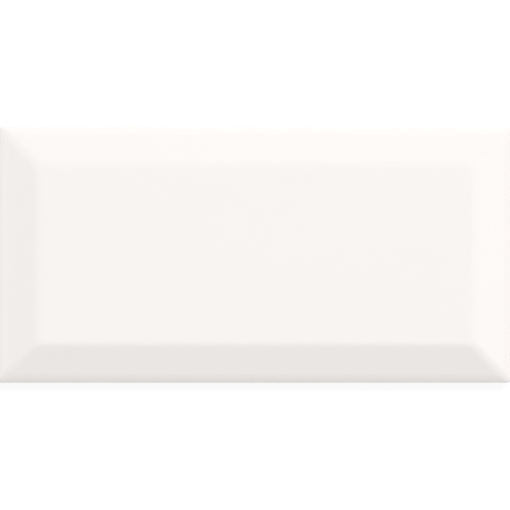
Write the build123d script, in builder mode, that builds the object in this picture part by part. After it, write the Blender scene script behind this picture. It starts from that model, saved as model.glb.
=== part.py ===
from build123d import *
from math import acos, atan, atan2, degrees, hypot, tan
import os

# Bevelled ceramic wall tile, lying on its back with the glazed face up.
# Sizes are in millimetres. The origin is the middle of the bedding plane at the back, +Z points out of
# the face and the long edges run along X.

# Outline
length = 200.0
width = 100.0
thickness = 7.5
corner_radius = 1.2

# Section from the outline inwards: an upright edge, then a steep rim, a shoulder and the broad bevel.
# Each strip ends so far in from the outline, and the rim and shoulder so far above the upright edge.
edge_height = 3.6
rim_run = 0.4
rim_rise = 0.65
shoulder_run = 2.4
shoulder_rise = 1.4
bevel_run = 15.0

# At the corners the rim is carried this far up to meet the shoulder
rim_carry = 1.0

# Roll of the lines of the face, as the glaze leaves them, and the share of the shoulder that it may take
roll_radius = 17.0
roll_room = 0.8

# Back: a broken arris, and a key of shallow drafted pockets between ribs, inside a plain border
back_chamfer = 0.6
key_columns = 10
key_rows = 5
key_border = 7.0
key_rib = 3.5
key_depth = 0.7
key_draft = 30.0
key_corner_radius = 1.5

rim_taper = degrees(atan2(rim_run, rim_rise))

# The shoulder's slope runs out to a foot on the outline and in to the plane of the face, and the bevel
# cuts it off in between
shoulder_top = edge_height + shoulder_rise
shoulder_pitch = (shoulder_rise - rim_rise) / (shoulder_run - rim_run)
shoulder_foot = shoulder_top - shoulder_run * shoulder_pitch
shoulder_reach = shoulder_run + (thickness - shoulder_top) / shoulder_pitch
bevel_pitch = (thickness - shoulder_top) / (bevel_run - shoulder_run)

# The roll keeps its radius as long as the shoulder has room for it, on its slope and at the foot of the
# mitres, where two bevels of one pitch meet
shoulder_length = hypot(shoulder_run - rim_run, shoulder_rise - rim_rise)
shoulder_turn = atan(shoulder_pitch) - atan(bevel_pitch)
slope_roll = roll_room * shoulder_length / tan(shoulder_turn / 2)
shoulder_diagonal = hypot(shoulder_run, shoulder_run)
mitre_turn = acos(1 / (1 + bevel_pitch**2))
mitre_roll = roll_room * shoulder_diagonal / tan(mitre_turn / 2)
fitted_roll = min(roll_radius, slope_roll, mitre_roll)

# The lines that roll lie wholly above this height, and the short mitres of the shoulder cross it
shoulder_middle = (shoulder_foot + shoulder_top) / 2

pocket_length = (length - 2 * key_border - (key_columns - 1) * key_rib) / key_columns
pocket_width = (width - 2 * key_border - (key_rows - 1) * key_rib) / key_rows

# Rounded outline with the upright edge and, above it, the rim
with BuildPart() as blank:
    with BuildSketch():
        RectangleRounded(length, width, corner_radius)
    extrude(amount=edge_height)
    extrude(blank.faces().sort_by(Axis.Z)[-1], amount=rim_carry, taper=rim_taper)
    extrude(blank.faces().sort_by(Axis.Z)[-1], amount=thickness)

with BuildPart() as wall_tile:
    Box(length, width, thickness, align=(Align.CENTER, Align.CENTER, Align.MIN))

    # Shoulder and bevel, each a low chamfer measured from the flat of the face
    face = wall_tile.faces().sort_by(Axis.Z)[-1]
    chamfer(face.edges(), length=shoulder_reach, length2=thickness - shoulder_foot, reference=face)
    face = wall_tile.faces().sort_by(Axis.Z)[-1]
    bevel_cut = hypot(shoulder_reach - shoulder_run, thickness - shoulder_top)
    chamfer(face.edges(), length=bevel_run - shoulder_reach, length2=bevel_cut, reference=face)

    # Arrises round the flat, mitres from its corners and the line of the shoulder roll over together
    rolled_edges = wall_tile.edges().filter_by(lambda edge: edge.bounding_box().min.Z > shoulder_middle)
    fillet(rolled_edges, fitted_roll)

    # The outline and the rim bound the face all round
    add(blank.part, mode=Mode.INTERSECT)

    # The arris of the back is broken, and the pockets of the key are pressed up into it
    back = wall_tile.faces().sort_by(Axis.Z)[0]
    chamfer(back.edges(), back_chamfer)
    with BuildSketch():
        with GridLocations(pocket_length + key_rib, pocket_width + key_rib, key_columns, key_rows):
            RectangleRounded(pocket_length, pocket_width, key_corner_radius)
    extrude(amount=key_depth, taper=key_draft, mode=Mode.SUBTRACT)

wall_tile.part.label = "wall_tile"
os.makedirs("parts", exist_ok=True)
export_step(wall_tile.part, "parts/wall_tile.step")
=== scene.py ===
"""Looks of a bevelled, white glazed wall tile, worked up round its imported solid.

The file is laid out as an add-on and is run as a script. Lengths are in metres, in the solid's own frame:
the origin is the middle of the bedding plane, +Z comes out of the glazed face and the long edges run
along X.
"""

from math import cos, pi, radians, sin, tan

import bpy
import numpy as np
from bpy.props import FloatProperty, FloatVectorProperty, IntProperty, PointerProperty
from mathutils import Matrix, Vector


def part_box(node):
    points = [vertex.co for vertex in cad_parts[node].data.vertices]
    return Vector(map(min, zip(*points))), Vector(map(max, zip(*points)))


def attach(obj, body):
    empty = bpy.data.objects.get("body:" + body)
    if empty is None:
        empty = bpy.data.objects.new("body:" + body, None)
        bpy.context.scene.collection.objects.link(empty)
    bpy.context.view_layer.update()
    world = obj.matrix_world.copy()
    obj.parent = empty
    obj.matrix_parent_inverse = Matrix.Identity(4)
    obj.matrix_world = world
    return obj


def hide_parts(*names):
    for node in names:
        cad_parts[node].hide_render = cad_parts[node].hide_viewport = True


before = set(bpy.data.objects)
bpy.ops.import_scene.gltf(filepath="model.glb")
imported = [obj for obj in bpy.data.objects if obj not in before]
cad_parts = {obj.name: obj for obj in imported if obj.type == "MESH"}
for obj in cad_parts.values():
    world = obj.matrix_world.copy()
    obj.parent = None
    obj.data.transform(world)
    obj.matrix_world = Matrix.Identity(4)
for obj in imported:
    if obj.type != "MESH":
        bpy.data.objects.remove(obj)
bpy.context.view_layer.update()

bl_info = {
    "name": "Bevelled wall tile",
    "version": (1, 0, 0),
    "blender": (4, 5, 0),
    "location": "3D View > Sidebar > Wall tile",
    "description": "Builds a white glazed, bevelled wall tile and the stage it lies on",
    "category": "Add Mesh",
}

NODE = "wall_tile"
BODY = "root"

# Points that round to the same place at this step are one point
WELD_STEP = 1e-6

# Which of the tile's materials a patch wears
GLAZE, BISCUIT = 0, 1

# The slowest wave in a wandering line, and how many multiples each of its waves is drawn from
SLOWEST_WAVE = 3
WAVE_CHOICES = 4

tile_low, tile_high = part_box(NODE)
tile_size = tile_high - tile_low


def length_property(name, description, default):
    """A length that a user may change, in metres."""
    return FloatProperty(
        name=name, description=description, default=default, min=0.0, precision=5, unit="LENGTH"
    )


def colour_property(name, description, default):
    """A colour that a user may change, as linear red, green and blue."""
    return FloatVectorProperty(
        name=name, description=description, default=default, min=0.0, max=1.0, subtype="COLOR"
    )


def angle_property(name, description, degrees):
    """An angle that a user may change."""
    return FloatProperty(name=name, description=description, default=radians(degrees), subtype="ANGLE")


def share_property(name, description, default):
    """A plain number from nothing up."""
    return FloatProperty(name=name, description=description, default=default, min=0.0)


class WallTileSizes(bpy.types.PropertyGroup):
    """Sizes of the tile's section, its glaze and its keyed back."""

    length: length_property("Length", "Along the long edges", tile_size.x)
    width: length_property("Width", "Along the short edges", tile_size.y)
    thickness: length_property("Thickness", "From the bedding plane to the flat of the face", tile_size.z)
    edge_height: length_property("Edge height", "From the bedding plane to the rim's sharp line", 0.0041)
    bevel_run: length_property("Bevel run", "From the outline in to the flat of the face", 0.015)
    shoulder_run: length_property("Shoulder run", "Width of the steeper strip inside the outline", 0.0024)
    shoulder_drop: length_property("Shoulder drop", "Fall of that strip towards the rim", 0.0009)
    roll_radius: length_property("Roll radius", "Round of the arris and of the shoulder's line", 0.017)
    rim_radius: length_property("Rim radius", "Round between the shoulder and the upright edge", 0.0004)
    corner_radius: length_property("Corner radius", "Round of the upright corners, in plan", 0.0012)
    mitre_radius: length_property("Mitre radius", "Round of the mitres, in plan", 0.0029)
    back_chamfer: length_property("Back chamfer", "Broken arris round the back", 0.0006)
    back_round: length_property("Back round", "Small round on that chamfer's lines", 0.0002)
    glaze_thickness: length_property("Glaze thickness", "Glaze standing proud of the body", 0.00012)
    glaze_level: length_property("Glaze level", "Mean height of the glaze's lower edge", 0.0019)
    glaze_wander: length_property("Glaze wander", "How far that edge strays up and down", 0.00028)
    face_wave: length_property("Face wave", "Depth of the glazed face's slow waves", 0.00002)
    key_columns: IntProperty(name="Key columns", description="Pockets along the length", default=10, min=1)
    key_rows: IntProperty(name="Key rows", description="Pockets across the width", default=5, min=1)
    key_border: length_property("Key border", "Plain margin round the pockets", 0.007)
    key_rib: length_property("Key rib", "Rib between two pockets", 0.0035)
    key_depth: length_property("Key depth", "Depth of a pocket", 0.0007)
    key_draft: angle_property("Key draft", "Slope of a pocket's walls", 30.0)
    key_corner_radius: length_property("Key corner radius", "Round of a pocket's corners, in plan", 0.0015)
    key_round: length_property("Key round", "Round at a pocket's mouth and floor", 0.00025)


class WallTileFinish(bpy.types.PropertyGroup):
    """Colours and surface of the glaze and of the bare body."""

    glaze: colour_property("Glaze", "Where it lies thick", (0.93, 0.894, 0.876))
    thin_glaze: colour_property("Thin glaze", "Where it draws thin over an edge", (0.905, 0.862, 0.832))
    glaze_gloss: share_property("Glaze roughness", "0 is a mirror", 0.09)
    glaze_peel: length_property("Glaze peel", "Depth of the fine ripple in the glaze", 0.000004)
    biscuit: colour_property("Biscuit", "The bare fired body", (0.80, 0.745, 0.66))
    pale_biscuit: colour_property("Pale biscuit", "Its lighter clouds", (0.86, 0.82, 0.75))
    kiln_wash: colour_property("Kiln wash", "Chalky powder left on the ribs", (0.88, 0.87, 0.84))
    biscuit_grain: length_property("Biscuit grain", "Depth of the pressed powder's grain", 0.00012)


class WallTileStage(bpy.types.PropertyGroup):
    """The camera over the tile and the light on it."""

    framed_width: length_property("Framed width", "Length of tile that fills the picture", 0.1992)
    camera_drop: length_property("Camera drop", "From the tile's middle towards its lower edge", 0.0002)
    lens: FloatProperty(name="Lens", description="Focal length", default=200.0, unit="CAMERA")
    key_turn: angle_property("Key turn", "Direction of the key light in plan, from +X", 54.0)
    key_rise: angle_property("Key rise", "Height of the key light over the horizon", 42.0)
    key_distance: length_property("Key distance", "From the tile to the key light", 8.0)
    key_side: length_property("Key side", "Side of the square key light", 2.4)
    key_power: share_property("Key power", "Watts", 485.0)
    edge_turn: angle_property("Edge turn", "Direction of the edge light in plan, from +X", 180.0)
    edge_rise: angle_property("Edge rise", "Height of the edge light over the horizon", 48.0)
    edge_distance: length_property("Edge distance", "From the tile to the edge light", 3.0)
    edge_side: length_property("Edge side", "Side of the square edge light", 1.05)
    edge_power: share_property("Edge power", "Watts", 6.0)
    panel_height: length_property("Panel height", "From the tile to the panel overhead", 1.6)
    panel_length: length_property("Panel length", "Of the panel overhead, along the tile", 2.2)
    panel_width: length_property("Panel width", "Of the panel overhead, across the tile", 0.8)
    panel_power: share_property("Panel power", "Watts", 3.9)
    fill: share_property("Fill", "Strength of the even light all round", 0.315)
    floor_side: length_property("Floor side", "Side of the square floor", 24.0)


# Shapes: profiles carried round rounded rectangles


def unit(vector):
    """The vector at length one."""
    return vector / np.linalg.norm(vector)


def corner_arc(before, corner, after, radius, count):
    """The round of one corner of a section, as points from its first side to its second.

    The arc touches each side at the radius times the tangent of half the turn from the corner. Its points
    are the first touching radius swung evenly to the second about the arc's centre.
    """
    to_before = unit(before - corner)
    to_after = unit(after - corner)
    turn = pi - np.arccos(to_before @ to_after)
    centre = corner + unit(to_before + to_after) * radius / cos(turn / 2)
    first = corner + to_before * radius * tan(turn / 2) - centre
    last = corner + to_after * radius * tan(turn / 2) - centre
    share = np.linspace(0, 1, count)[:, None]
    return centre + (np.sin((1 - share) * turn) * first + np.sin(share * turn) * last) / sin(turn)


def section_line(start, rounds, end, run_steps):
    """A section as points of (inset, height): straight runs joined by arcs.

    rounds lists each corner as (inset, height, radius, points on its arc). run_steps says how many equal
    steps each straight run is cut into.
    """
    corners = np.array([start, *[corner[:2] for corner in rounds], end])
    pieces = [corners[:1]]
    for place, (_, _, radius, count) in enumerate(rounds, 1):
        arc = corner_arc(*corners[place - 1 : place + 2], radius, count)
        pieces.append(np.linspace(pieces[-1][-1], arc[0], run_steps[place - 1] + 1)[1:-1])
        pieces.append(arc)
    pieces.append(np.linspace(pieces[-1][-1], corners[-1], run_steps[-1] + 1)[1:])
    return np.concatenate(pieces)


def walk_round(run_x, run_y, corner_steps):
    """Once round a rectangle, anticlockwise from above, as places on its core and outward directions.

    run_x and run_y are the stops along the straight sides, as shares of the core's half sides from -1 to
    1. Each corner stands still on the core while its direction swings a quarter turn.
    """
    swing = np.linspace(0, pi / 2, corner_steps + 1)
    places, directions = [], []
    for quarter, run in enumerate((run_x, run_y, run_x, run_y)):
        heading = quarter * pi / 2
        along = np.array([round(cos(heading)), round(sin(heading))])
        out = np.array([along[1], -along[0]])
        places.append(run[1:-1, None] * along + out)
        directions.append(np.broadcast_to(out, places[-1].shape))
        places.append(np.broadcast_to(along + out, (corner_steps + 1, 2)))
        directions.append(np.sin(swing)[:, None] * along + np.cos(swing)[:, None] * out)
    return np.concatenate(places), np.concatenate(directions)


def carry(section, half_sides, radius, square, walk):
    """A section carried round a rounded rectangle, as points by (step of the section, step round).

    Each step of the section is a ring: the core rectangle, which is the half sides less the inset and the
    ring's corner radius, plus that radius in the outward direction. square runs from 0, a round corner,
    to 1, where the direction is stretched to the corner of a square.
    """
    places, directions = walk
    inset, height = section[:, 0, None, None], section[:, 1]
    radius, square = radius[:, None, None], square[:, None, None]
    stretch = 1 + square * (1 / np.abs(directions).max(axis=1, keepdims=True) - 1)
    plan = places * (np.array(half_sides) - inset - radius) + directions * radius * stretch
    upright = np.broadcast_to(height[:, None, None], plan.shape[:2] + (1,))
    return np.concatenate([plan, upright], axis=2)


def stops(half_side, zone, run, corner_steps):
    """Where a square-cornered ring's points stand along one side, from end to end.

    The end zones hold half of each corner's swing, at the zone times the tangent of the angle swung, and
    the stops of the straight run lie between them.
    """
    swing = np.linspace(0, pi / 4, corner_steps // 2 + 1)
    end = half_side - zone + zone * np.tan(swing)
    return np.concatenate([-end[::-1], run[1:-1] * (half_side - zone), end])


def ring_quads(steps, around):
    """Faces of a carried section, closed round the walk and facing out of the tile."""
    near = np.arange(steps - 1)[:, None] * around + np.arange(around)
    beside = np.roll(near, -1, axis=1)
    return np.stack([near, beside, beside + around, near + around], axis=-1).reshape(-1, 4)


def sheet_quads(columns, rows, facing_up):
    """Faces of a flat grid of points stored row by row."""
    near = np.arange(rows - 1)[:, None] * columns + np.arange(columns - 1)
    quads = np.stack([near, near + 1, near + columns + 1, near + columns], axis=-1).reshape(-1, 4)
    return quads if facing_up else quads[:, ::-1]


def sheet(stops_x, stops_y, height):
    """A level grid of points over the given stops, stored row by row."""
    x, y = np.meshgrid(stops_x, stops_y)
    return np.stack([x, y, np.full_like(x, height)], axis=-1).reshape(-1, 3)


def copies(points, quads, centres):
    """One patch repeated at each centre, as points and faces."""
    moved = (points[None] + centres[:, None]).reshape(-1, 3)
    numbered = quads[None] + (np.arange(len(centres)) * len(points))[:, None, None]
    return moved, numbered.reshape(-1, 4)


def slow_waves(phase, count, seed):
    """A wandering value from -1 to 1: the mean of cosines of whole multiples of the phase.

    The multiples are drawn at random from the slowest up, and each cosine has its own start.
    """
    rng = np.random.default_rng(seed)
    choices = np.arange(SLOWEST_WAVE, SLOWEST_WAVE + WAVE_CHOICES * count)
    multiples = rng.permutation(choices)[:count]
    starts = rng.uniform(0, 2 * pi, count)
    return np.cos(phase[..., None] * multiples + starts).mean(axis=-1)


class Patch:
    """A piece of surface: points, faces, material and how thin the glaze lies at each point."""

    def __init__(self, points, quads, material, thin=None):
        self.points = points.reshape(-1, 3)
        self.quads = quads
        self.material = np.full(len(quads), material)
        self.thin = np.zeros(len(self.points)) if thin is None else thin.reshape(-1)


class TileShape:
    """The whole tile as patches that meet point to point."""

    # Steps round a corner and along the straight sides of a pocket
    corner_steps = 8
    pocket_run_steps = 6

    # Points on the arcs of the section
    lip_points = 5
    rim_points = 9
    shoulder_points = 7
    arris_points = 13
    small_round_points = 4

    # Steps along the straight runs of each section, in its own order
    glaze_run_steps = (1, 3, 1, 6, 4)
    biscuit_run_steps = (4, 1, 4)
    pocket_wall_steps = (2, 2, 2)

    # Round of the glaze's lip, as a share of its thickness
    lip_fullness = 0.8

    # Waves of the glaze's lower edge, and their height in wanders
    edge_waves = 9
    edge_seed = 4
    edge_sway = 2

    # Where the glaze has run down and how wide a run is, as shares of the way round, and a run's length in
    # wanders
    run_places = np.array([0.07, 0.19, 0.36, 0.58, 0.63, 0.88])
    run_width = 0.0045
    run_length = 1.6

    # Slow waves of the face: two slanting directions in plan and the waves along each
    wave_slants = np.array([(0.9, 0.5), (-0.4, 1.3)])
    wave_seeds = (11, 12)
    face_waves = 3

    # How far in the glaze draws thin at the rim, in rim radii, and how thin it lies on arris and mitres
    thin_reach = 1.5
    thin_share = 0.2

    # How far from its mouth and its foot a pocket's corners start to turn square, as a share of the inset
    square_margin = 0.2

    def __init__(self, sizes):
        self.sizes = sizes
        self.half_sides = (sizes.length / 2, sizes.width / 2)
        self.shoulder_top = sizes.edge_height + sizes.shoulder_drop
        self.pitch = [
            (side - 2 * sizes.key_border + sizes.key_rib) / count
            for side, count in ((sizes.length, sizes.key_columns), (sizes.width, sizes.key_rows))
        ]
        self.centres = [
            (np.arange(count) - (count - 1) / 2) * pitch
            for count, pitch in zip((sizes.key_columns, sizes.key_rows), self.pitch)
        ]
        # The border's inner line is the outer boundary of the pockets' cells
        self.border_inset = sizes.key_border - sizes.key_rib / 2
        self.zone = sizes.key_corner_radius + sizes.key_rib / 2
        # The glaze shell ends on the flat, two zones inside its arris
        self.flat_inset = sizes.bevel_run + 2 * self.zone
        self.pocket_run = np.linspace(-1, 1, self.pocket_run_steps + 1)
        self.runs = [self.run_along(axis) for axis in (0, 1)]
        self.walk = walk_round(*self.runs, self.corner_steps)

    def run_along(self, axis):
        """Stops along one side of the tile, the same as those of the row of cells beside it."""
        cell = stops(self.pitch[axis] / 2, self.zone, self.pocket_run, self.corner_steps)
        row = (self.centres[axis][:, None] + cell[:-1]).reshape(-1)
        half_row = self.half_sides[axis] - self.border_inset
        ends = self.corner_steps // 2
        straight = np.append(row, half_row)[ends : -ends]
        return straight / (half_row - self.zone)

    def glaze_edge(self, share):
        """Height of the glaze's lower edge over its level, by share of the way round.

        It is slow waves less a bell curve of the distance to each run, taken the shorter way round.
        """
        wander = self.edge_sway * slow_waves(2 * pi * share, self.edge_waves, self.edge_seed)
        away = (share[:, None] - self.run_places + 1 / 2) % 1 - 1 / 2
        runs = self.run_length * np.exp(-((away / self.run_width) ** 2)).sum(axis=1)
        return self.sizes.glaze_wander * (wander - runs)

    def follow_glaze_edge(self, points):
        """Shifts the upright edge's rings with the glaze's lower edge.

        The shift fades out evenly towards the chamfer and the rim.
        """
        sizes = self.sizes
        lower, upper = sizes.back_chamfer + sizes.back_round, sizes.edge_height - sizes.rim_radius
        height = points[..., 2]
        rising = (height - lower) / (sizes.glaze_level - lower)
        falling = (upper - height) / (upper - sizes.glaze_level)
        hold = np.clip(np.minimum(rising, falling), 0, 1)
        share = np.arange(points.shape[1]) / points.shape[1]
        moved = points.copy()
        moved[..., 2] += hold * self.glaze_edge(share)
        return moved

    def wave_face(self, points):
        """Sinks the glazed face a little in slow waves, deepest on the flat and none at the shoulder.

        The waves are cosines along two slanting directions. A point's phase is pi times its product with
        the slant, over the tile's length. The fall is never upwards, so the tile keeps its box.
        """
        sizes = self.sizes
        rise = (points[..., 2] - self.shoulder_top) / (sizes.thickness - self.shoulder_top)
        hold = np.clip(rise, 0, 1)
        waves = [
            slow_waves(points[..., :2] @ slant / sizes.length * pi, self.face_waves, seed)
            for slant, seed in zip(self.wave_slants, self.wave_seeds)
        ]
        moved = points.copy()
        moved[..., 2] -= sizes.face_wave * hold * (1 + np.mean(waves, axis=0)) / 2
        return moved

    def glaze_shell(self):
        """Glaze from its lower edge, over the rim, shoulder and bevel, to a square ring on the flat."""
        sizes = self.sizes
        section = section_line(
            (sizes.glaze_thickness, sizes.glaze_level),
            [
                (0, sizes.glaze_level, sizes.glaze_thickness * self.lip_fullness, self.lip_points),
                (0, sizes.edge_height, sizes.rim_radius, self.rim_points),
                (sizes.shoulder_run, self.shoulder_top, sizes.roll_radius, self.shoulder_points),
                (sizes.bevel_run, sizes.thickness, sizes.roll_radius, self.arris_points),
            ],
            (self.flat_inset, sizes.thickness),
            self.glaze_run_steps,
        )
        inset = section[:, 0]
        radius = np.interp(
            inset,
            [0, sizes.shoulder_run, sizes.bevel_run, self.flat_inset],
            [sizes.corner_radius, sizes.mitre_radius, sizes.mitre_radius, self.zone],
        )
        square = np.interp(inset, [sizes.bevel_run + sizes.mitre_radius, self.flat_inset], [0, 1])
        points = carry(section, self.half_sides, radius, square, self.walk)
        points = self.wave_face(self.follow_glaze_edge(points))
        return Patch(points, ring_quads(*points.shape[:2]), GLAZE, self.thinness(section))

    def thinness(self, section):
        """How thin the glaze draws, from 0 to 1: most at the rim, less at the arris and along the mitres.

        Rim and arris are bell curves of the inset. A mitre is twice the product of the direction's two
        parts, which is 1 at the middle of a corner's swing and 0 along the sides.
        """
        sizes = self.sizes
        inset, height = section[:, :1], section[:, 1:]
        over_edge = height > sizes.glaze_level + sizes.rim_radius
        rim = np.exp(-((inset / (self.thin_reach * sizes.rim_radius)) ** 2)) * over_edge
        arris = self.thin_share * np.exp(-(((inset - sizes.bevel_run) / sizes.mitre_radius) ** 2))
        swing = 2 * np.abs(self.walk[1].prod(axis=1))
        mitre = self.thin_share * swing * (inset < sizes.bevel_run)
        return np.maximum(np.maximum(rim, arris), mitre)

    def glaze_flat(self):
        """The flat of the face, inside the glaze shell's last ring."""
        lines = [
            stops(half - self.flat_inset, self.zone, run, self.corner_steps)
            for half, run in zip(self.half_sides, self.runs)
        ]
        points = self.wave_face(sheet(*lines, self.sizes.thickness))
        return Patch(points, sheet_quads(len(lines[0]), len(lines[1]), True), GLAZE)

    def biscuit_shell(self):
        """Bare body from the border of the back, over its chamfer, up the edge to the glaze."""
        sizes = self.sizes
        proud = sizes.glaze_thickness
        section = section_line(
            (self.border_inset, 0),
            [
                (proud + sizes.back_chamfer, 0, sizes.back_round, self.small_round_points),
                (proud, sizes.back_chamfer, sizes.back_round, self.small_round_points),
            ],
            (proud, sizes.glaze_level),
            self.biscuit_run_steps,
        )
        inset, height = section.T
        ends = [proud + sizes.back_chamfer, self.border_inset]
        on_back = height == 0
        back_radius = np.interp(inset, ends, [sizes.corner_radius, self.zone])
        radius = np.where(on_back, back_radius, sizes.corner_radius)
        square = np.where(on_back, np.interp(inset, ends, [0, 1]), 0)
        # The last ring is the glaze shell's first, so their corners agree
        radius[-1] = np.interp(proud, [0, sizes.shoulder_run], [sizes.corner_radius, sizes.mitre_radius])
        points = self.follow_glaze_edge(carry(section, self.half_sides, radius, square, self.walk))
        return Patch(points, ring_quads(*points.shape[:2]), BISCUIT)

    def pockets(self):
        """The keyed back: in each cell a pocket's floor, its drafted wall and its share of the ribs."""
        sizes = self.sizes
        half_cell = [pitch / 2 for pitch in self.pitch]
        mouth = sizes.key_rib / 2
        foot = mouth + sizes.key_depth * tan(sizes.key_draft)
        floor_inset = foot + sizes.key_corner_radius
        section = section_line(
            (floor_inset, sizes.key_depth),
            [
                (foot, sizes.key_depth, sizes.key_round, self.small_round_points),
                (mouth, 0, sizes.key_round, self.small_round_points),
            ],
            (0, 0),
            self.pocket_wall_steps,
        )
        inset = section[:, 0]
        corner = sizes.key_corner_radius
        radius = np.interp(inset, [0, mouth], [self.zone, corner])
        round_from, round_to = mouth * (1 - self.square_margin), foot * (1 + self.square_margin)
        square = np.interp(inset, [0, round_from, round_to, floor_inset], [1, 0, 0, 1])
        walk = walk_round(self.pocket_run, self.pocket_run, self.corner_steps)
        wall = carry(section, half_cell, radius, square, walk)
        lines = [stops(half - floor_inset, corner, self.pocket_run, self.corner_steps) for half in half_cell]
        floor = sheet(*lines, sizes.key_depth)
        centres = sheet(*self.centres, 0.0)
        return [
            Patch(*copies(wall.reshape(-1, 3), ring_quads(*wall.shape[:2]), centres), BISCUIT),
            Patch(*copies(floor, sheet_quads(len(lines[0]), len(lines[1]), False), centres), BISCUIT),
        ]

    def patches(self):
        """Every patch of the tile."""
        return [self.glaze_shell(), self.glaze_flat(), self.biscuit_shell(), *self.pockets()]


def weld(points, quads):
    """Makes one point of those in a cell of a fine lattice: which are kept, and the faces renumbered."""
    cells = np.round(points / WELD_STEP).astype(np.int64)
    _, kept, renumbered = np.unique(cells, axis=0, return_index=True, return_inverse=True)
    return kept, renumbered.reshape(-1)[quads]


def mesh_of_patches(name, patches):
    """One closed mesh from patches that meet point to point."""
    starts = np.cumsum([0, *[len(patch.points) for patch in patches[:-1]]])
    points = np.concatenate([patch.points for patch in patches])
    quads = np.concatenate([patch.quads + start for patch, start in zip(patches, starts)])
    materials = np.concatenate([patch.material for patch in patches])
    thinness = np.concatenate([patch.thin for patch in patches])
    kept, quads = weld(points, quads)
    mesh = bpy.data.meshes.new(name)
    mesh.vertices.add(len(kept))
    mesh.vertices.foreach_set("co", points[kept].astype(np.float32).ravel())
    mesh.loops.add(quads.size)
    mesh.loops.foreach_set("vertex_index", quads.astype(np.int32).ravel())
    mesh.polygons.add(len(quads))
    mesh.polygons.foreach_set("loop_start", np.arange(0, quads.size, 4, dtype=np.int32))
    mesh.polygons.foreach_set("material_index", materials.astype(np.int32))
    mesh.polygons.foreach_set("use_smooth", np.ones(len(quads), dtype=bool))
    thin = mesh.attributes.new("thin_glaze", "FLOAT", "POINT")
    thin.data.foreach_set("value", thinness[kept].astype(np.float32))
    mesh.update(calc_edges=True)
    if mesh.validate():
        raise RuntimeError(f"{name}: the patches do not make a sound mesh")
    return mesh


def linked(name, data):
    """A new object in the scene."""
    made = bpy.data.objects.new(name, data)
    bpy.context.scene.collection.objects.link(made)
    return made


# Materials


def feed(tree, socket, value):
    """Links a socket to what another node puts out, or sets it to a plain value."""
    if isinstance(value, bpy.types.NodeSocket):
        tree.links.new(value, socket)
    else:
        socket.default_value = value


def add_node(tree, kind, **settings):
    """A node of that kind. A setting named for one of its sockets feeds it, and others set the node."""
    node = tree.nodes.new(kind)
    for name, value in settings.items():
        if hasattr(node, name):
            setattr(node, name, value)
        else:
            feed(tree, node.inputs[name.replace("_", " ")], value)
    return node


def math_node(tree, operation, first, second):
    """Two values joined by one operation."""
    node = add_node(tree, "ShaderNodeMath", operation=operation)
    for socket, value in zip(node.inputs, (first, second)):
        feed(tree, socket, value)
    return node.outputs["Value"]


def mix(tree, kind, factor, first, second):
    """Two values (kind Float) or colours (kind Color): the first at factor 0 and the second at 1."""
    node = add_node(tree, "ShaderNodeMix", data_type={"Float": "FLOAT", "Color": "RGBA"}[kind])
    sockets = {socket.identifier: socket for socket in (*node.inputs, *node.outputs)}
    for name, value in (("Factor_Float", factor), (f"A_{kind}", first), (f"B_{kind}", second)):
        feed(tree, sockets[name], value)
    return sockets[f"Result_{kind}"]


def opaque(colour):
    """Red, green and blue with nothing seen through them."""
    return (*colour, 1.0)


def band(tree, value, stretch, spread=(0.0, 1.0)):
    """The value's stretch between two ends, eased and spread between two others."""
    node = add_node(tree, "ShaderNodeMapRange", interpolation_type="SMOOTHSTEP", Value=value)
    for name, number in zip(("From Min", "From Max", "To Min", "To Max"), (*stretch, *spread)):
        node.inputs[name].default_value = number
    return node.outputs["Result"]


def new_group(name, inputs, output):
    """An empty shader group with named inputs, given as (name, kind, default), and one value out."""
    group = bpy.data.node_groups.new(name, "ShaderNodeTree")
    for label, kind, default in inputs:
        socket = group.interface.new_socket(name=label, in_out="INPUT", socket_type=kind)
        if default is not None:
            socket.default_value = default
    group.interface.new_socket(name=output, in_out="OUTPUT", socket_type="NodeSocketFloat")
    return group, group.nodes.new("NodeGroupInput").outputs, group.nodes.new("NodeGroupOutput").inputs


def noise(tree, place, scale, detail):
    """Noise from 0 to 1 at a place."""
    return add_node(tree, "ShaderNodeTexNoise", Vector=place, Scale=scale, Detail=detail).outputs["Fac"]


# How much finer the fine clouds are than the broad ones
FINER_CLOUDS = 7.0


def fired_clouds_group():
    """Soft clouds of tone from the firing: two sizes of noise, the finer one weighted by its share."""
    group, given, out = new_group(
        "Fired clouds",
        [
            ("Vector", "NodeSocketVector", None),
            ("Scale", "NodeSocketFloat", 20.0),
            ("Fine Share", "NodeSocketFloat", 0.3),
        ],
        "Cloud",
    )
    broad = noise(group, given["Vector"], given["Scale"], detail=2.0)
    finer = math_node(group, "MULTIPLY", given["Scale"], FINER_CLOUDS)
    fine = noise(group, given["Vector"], finer, detail=3.0)
    group.links.new(mix(group, "Float", given["Fine Share"], broad, fine), out["Cloud"])
    return group


def fired_relief_group():
    """Fine relief of a fired surface: a smooth ripple with a share of sharper grain on it."""
    group, given, out = new_group(
        "Fired relief",
        [
            ("Vector", "NodeSocketVector", None),
            ("Ripple Scale", "NodeSocketFloat", 400.0),
            ("Grain Scale", "NodeSocketFloat", 2500.0),
            ("Grain Share", "NodeSocketFloat", 0.5),
        ],
        "Height",
    )
    ripple = noise(group, given["Vector"], given["Ripple Scale"], detail=1.0)
    grain = noise(group, given["Vector"], given["Grain Scale"], detail=4.0)
    group.links.new(mix(group, "Float", given["Grain Share"], ripple, grain), out["Height"])
    return group


def new_material(name):
    """A material with a bare Principled shader: its tree, the shader and the object's own coordinates."""
    material = bpy.data.materials.new(name)
    material.use_nodes = True
    tree = material.node_tree
    shader = next(node for node in tree.nodes if node.type == "BSDF_PRINCIPLED")
    return material, tree, shader, tree.nodes.new("ShaderNodeTexCoord").outputs["Object"]


def use_group(tree, group, **settings):
    """A group placed in a material with its own values."""
    return add_node(tree, "ShaderNodeGroup", node_tree=group, **settings).outputs[0]


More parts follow.
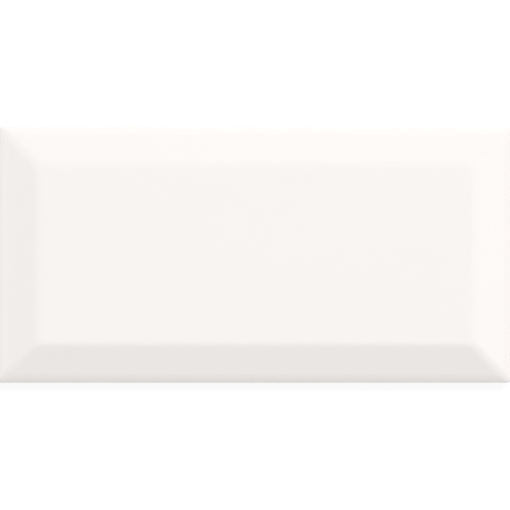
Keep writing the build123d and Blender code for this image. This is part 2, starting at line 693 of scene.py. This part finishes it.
def bump(tree, shader, height, depth):
    """The relief as the shader's normal, at a real depth."""
    node = add_node(tree, "ShaderNodeBump", Height=height, Distance=depth)
    tree.links.new(node.outputs["Normal"], shader.inputs["Normal"])


# The stretches of the clouds' values that show: all but the ends, the middle, and what holds powder
MOST_CLOUDS = (0.3, 0.7)
MID_CLOUDS = (0.35, 0.65)
CHALKY_CLOUDS = (0.4, 0.62)

# How far the glaze takes its thin colour, where it is thin and by its clouds alone
THIN_TONE = (0.35, 0.75)
CLOUDY_TONE = (0.0, 0.08)

# Roughness from the glossiest clouds to the dullest, in shares of the glaze's
GLOSS_SWING = (0.8, 1.2)
GLAZE_IOR = 1.52


def glaze_material(finish, clouds, relief):
    """Gloss white glaze: warmer where it draws thin, faintly cloudy, with a fine ripple."""
    material, tree, shader, own = new_material("gloss_white_glaze")
    thin = add_node(tree, "ShaderNodeAttribute", attribute_name="thin_glaze").outputs["Fac"]
    cloud = use_group(tree, clouds, Vector=own, Scale=14.0, Fine_Share=0.25)
    drawn = math_node(tree, "MULTIPLY", thin, band(tree, cloud, MOST_CLOUDS, THIN_TONE))
    tone = math_node(tree, "MAXIMUM", drawn, band(tree, cloud, MID_CLOUDS, CLOUDY_TONE))
    colour = mix(tree, "Color", tone, opaque(finish.glaze), opaque(finish.thin_glaze))
    tree.links.new(colour, shader.inputs["Base Color"])
    gloss = band(tree, cloud, MOST_CLOUDS, [finish.glaze_gloss * swing for swing in GLOSS_SWING])
    tree.links.new(gloss, shader.inputs["Roughness"])
    height = use_group(tree, relief, Vector=own, Ripple_Scale=330.0, Grain_Scale=1100.0, Grain_Share=0.12)
    bump(tree, shader, height, finish.glaze_peel)
    shader.inputs["IOR"].default_value = GLAZE_IOR
    return material


# How much powder the ribs hold, from bare clouds to chalky ones
CHALK_SHOWN = (0.1, 0.8)

# Overspray: how high up the bare edge it starts, as a share of the glaze's level, and the spots that show
MIST_FOOT = 0.45
MIST_SPOTS = (0.42, 0.56)

# Roughness of the bare body by its speckle, and the share of it that is left under overspray
BISCUIT_ROUGHNESS = (0.98, 0.84)
MIST_ROUGHNESS = (1.0, 0.6)
BISCUIT_SPECULAR = 0.3


def biscuit_material(finish, sizes, clouds, relief):
    """Bare fired body: cream, clouded and grainy, chalky on the ribs and misted under the glaze's edge."""
    material, tree, shader, own = new_material("bare_biscuit")
    height = add_node(tree, "ShaderNodeSeparateXYZ", Vector=own).outputs["Z"]
    cloud = use_group(tree, clouds, Vector=own, Scale=30.0, Fine_Share=0.35)
    speckle = use_group(tree, clouds, Vector=own, Scale=260.0, Fine_Share=0.5)
    cloudy = band(tree, cloud, MID_CLOUDS)
    body = mix(tree, "Color", cloudy, opaque(finish.biscuit), opaque(finish.pale_biscuit))
    # Powder stays on what touched the rollers of the kiln, which is the plane of the ribs and border
    on_ribs = band(tree, height, (sizes.key_round, 0.0))
    chalk = math_node(tree, "MULTIPLY", on_ribs, band(tree, cloud, CHALKY_CLOUDS, CHALK_SHOWN))
    chalky = mix(tree, "Color", chalk, body, opaque(finish.kiln_wash))
    # Overspray lies in fine spots just under the glaze's edge
    near_glaze = band(tree, height, (sizes.glaze_level * MIST_FOOT, sizes.glaze_level))
    mist = math_node(tree, "MULTIPLY", near_glaze, band(tree, speckle, MIST_SPOTS))
    misty = mix(tree, "Color", mist, chalky, opaque(finish.glaze))
    tree.links.new(misty, shader.inputs["Base Color"])
    dry = band(tree, speckle, MOST_CLOUDS, BISCUIT_ROUGHNESS)
    rough = math_node(tree, "MULTIPLY", dry, band(tree, mist, (0.0, 1.0), MIST_ROUGHNESS))
    tree.links.new(rough, shader.inputs["Roughness"])
    grain = use_group(tree, relief, Vector=own, Ripple_Scale=700.0, Grain_Scale=3200.0, Grain_Share=0.6)
    bump(tree, shader, grain, finish.biscuit_grain)
    shader.inputs["Specular IOR Level"].default_value = BISCUIT_SPECULAR
    return material


# Stage


# The floor's white to the light, and to the eye the part of it that takes shade and the part that glows
FLOOR_TO_LIGHT = (0.8, 0.8, 0.8)
FLOOR_SHADED = (0.16, 0.16, 0.16)
FLOOR_GLOW = 0.87

# How far the floor lies under the bedding plane, so that the two never share a plane
FLOOR_GAP = 0.00002


def seen_directly(tree):
    """1 on rays from the camera and on those mirrored or passed to it, 0 on rays that carry light about."""
    path = tree.nodes.new("ShaderNodeLightPath").outputs
    mirrored = math_node(tree, "MAXIMUM", path["Is Glossy Ray"], path["Is Transmission Ray"])
    return math_node(tree, "MAXIMUM", path["Is Camera Ray"], mirrored)


def floor_material():
    """White floor: plain white to the light, and to the eye white with the object's shadow faint on it."""
    material = bpy.data.materials.new("white_floor")
    material.use_nodes = True
    tree = material.node_tree
    tree.nodes.clear()
    plain = add_node(tree, "ShaderNodeBsdfDiffuse", Color=opaque(FLOOR_TO_LIGHT))
    shaded = add_node(tree, "ShaderNodeBsdfDiffuse", Color=opaque(FLOOR_SHADED))
    glow = add_node(tree, "ShaderNodeEmission", Strength=FLOOR_GLOW)
    lit = tree.nodes.new("ShaderNodeAddShader")
    tree.links.new(shaded.outputs[0], lit.inputs[0])
    tree.links.new(glow.outputs[0], lit.inputs[1])
    either = tree.nodes.new("ShaderNodeMixShader")
    tree.links.new(seen_directly(tree), either.inputs[0])
    tree.links.new(plain.outputs[0], either.inputs[1])
    tree.links.new(lit.outputs[0], either.inputs[2])
    add_node(tree, "ShaderNodeOutputMaterial", Surface=either.outputs[0])
    return material


def floor_object(stage):
    """A wide level floor just under the bedding plane."""
    half, level = stage.floor_side / 2, tile_low.z - FLOOR_GAP
    mesh = bpy.data.meshes.new("floor")
    corners = [(-half, -half, level), (half, -half, level), (half, half, level), (-half, half, level)]
    mesh.from_pydata(corners, [], [(0, 1, 2, 3)])
    mesh.materials.append(floor_material())
    linked("floor", mesh)


def lamp_place(turn, rise, distance):
    """The place at that distance from the tile, turned from +X in plan and raised from the floor."""
    return Vector((cos(rise) * cos(turn), cos(rise) * sin(turn), sin(rise))) * distance


def soft_lamp(name, place, sides, power):
    """A flat lamp that looks at the middle of the tile, with the given sides."""
    lamp = bpy.data.lights.new(name, "AREA")
    lamp.shape = "RECTANGLE"
    lamp.size, lamp.size_y = sides
    lamp.energy = power
    made = linked(name, lamp)
    made.location = place
    made.rotation_euler = (-place).to_track_quat("-Z", "Y").to_euler()
    made.visible_camera = False


def light_world(fill):
    """Even light from all round, behind which the eye sees white."""
    world = bpy.data.worlds.new("white_surround")
    world.use_nodes = True
    tree = world.node_tree
    tree.nodes.clear()
    strength = band(tree, seen_directly(tree), (0.0, 1.0), (fill, 1.0))
    surround = add_node(tree, "ShaderNodeBackground", Color=(1.0, 1.0, 1.0, 1.0), Strength=strength)
    add_node(tree, "ShaderNodeOutputWorld", Surface=surround.outputs[0])
    bpy.context.scene.world = world


def overhead_camera(stage, sizes):
    """A long lens over the tile, so high that the framed width fills the picture at the rim."""
    camera = bpy.data.cameras.new("overhead_camera")
    camera.lens = stage.lens
    made = linked("overhead_camera", camera)
    distance = stage.framed_width * camera.lens / camera.sensor_width
    made.location = (0.0, -stage.camera_drop, sizes.edge_height + distance)
    bpy.context.scene.camera = made


# Add-on


class WALLTILE_OT_tile(bpy.types.Operator):
    """Build the glazed tile in place of the plain solid"""

    bl_idname = "wall_tile.tile"
    bl_label = "Build tile"

    def execute(self, context):
        sizes, finish = context.scene.wall_tile_sizes, context.scene.wall_tile_finish
        mesh = mesh_of_patches("glazed_wall_tile", TileShape(sizes).patches())
        clouds, relief = fired_clouds_group(), fired_relief_group()
        mesh.materials.append(glaze_material(finish, clouds, relief))
        mesh.materials.append(biscuit_material(finish, sizes, clouds, relief))
        tile = linked("glazed_wall_tile", mesh)
        tile.modifiers.new("flat faces stay flat", "WEIGHTED_NORMAL")
        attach(tile, BODY)
        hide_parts(NODE)
        return {"FINISHED"}


class WALLTILE_OT_stage(bpy.types.Operator):
    """Lay the floor, hang the lamps and set the camera"""

    bl_idname = "wall_tile.stage"
    bl_label = "Build stage"

    def execute(self, context):
        sizes, stage = context.scene.wall_tile_sizes, context.scene.wall_tile_stage
        floor_object(stage)
        key = lamp_place(stage.key_turn, stage.key_rise, stage.key_distance)
        soft_lamp("key_lamp", key, (stage.key_side, stage.key_side), stage.key_power)
        edge = lamp_place(stage.edge_turn, stage.edge_rise, stage.edge_distance)
        soft_lamp("edge_lamp", edge, (stage.edge_side, stage.edge_side), stage.edge_power)
        overhead = Vector((0, 0, stage.panel_height))
        soft_lamp("overhead_panel", overhead, (stage.panel_length, stage.panel_width), stage.panel_power)
        light_world(stage.fill)
        overhead_camera(stage, sizes)
        context.scene.view_settings.view_transform = "Standard"
        return {"FINISHED"}


class WALLTILE_PT_panel(bpy.types.Panel):
    """Sizes, finish and stage of the wall tile"""

    bl_idname = "WALLTILE_PT_panel"
    bl_label = "Wall tile"
    bl_space_type = "VIEW_3D"
    bl_region_type = "UI"
    bl_category = "Wall tile"

    def draw(self, context):
        for title, settings, operator in (
            ("Sizes", context.scene.wall_tile_sizes, WALLTILE_OT_tile),
            ("Finish", context.scene.wall_tile_finish, WALLTILE_OT_tile),
            ("Stage", context.scene.wall_tile_stage, WALLTILE_OT_stage),
        ):
            box = self.layout.box()
            box.label(text=title)
            for name in settings.__annotations__:
                box.prop(settings, name)
            box.operator(operator.bl_idname)


CLASSES = (
    WallTileSizes,
    WallTileFinish,
    WallTileStage,
    WALLTILE_OT_tile,
    WALLTILE_OT_stage,
    WALLTILE_PT_panel,
)


def register():
    for made in CLASSES:
        bpy.utils.register_class(made)
    bpy.types.Scene.wall_tile_sizes = PointerProperty(type=WallTileSizes)
    bpy.types.Scene.wall_tile_finish = PointerProperty(type=WallTileFinish)
    bpy.types.Scene.wall_tile_stage = PointerProperty(type=WallTileStage)


def unregister():
    del bpy.types.Scene.wall_tile_stage
    del bpy.types.Scene.wall_tile_finish
    del bpy.types.Scene.wall_tile_sizes
    for made in reversed(CLASSES):
        bpy.utils.unregister_class(made)


def main():
    """Builds the tile and its stage."""
    register()
    bpy.ops.wall_tile.tile()
    bpy.ops.wall_tile.stage()


if __name__ == "__main__":
    main()
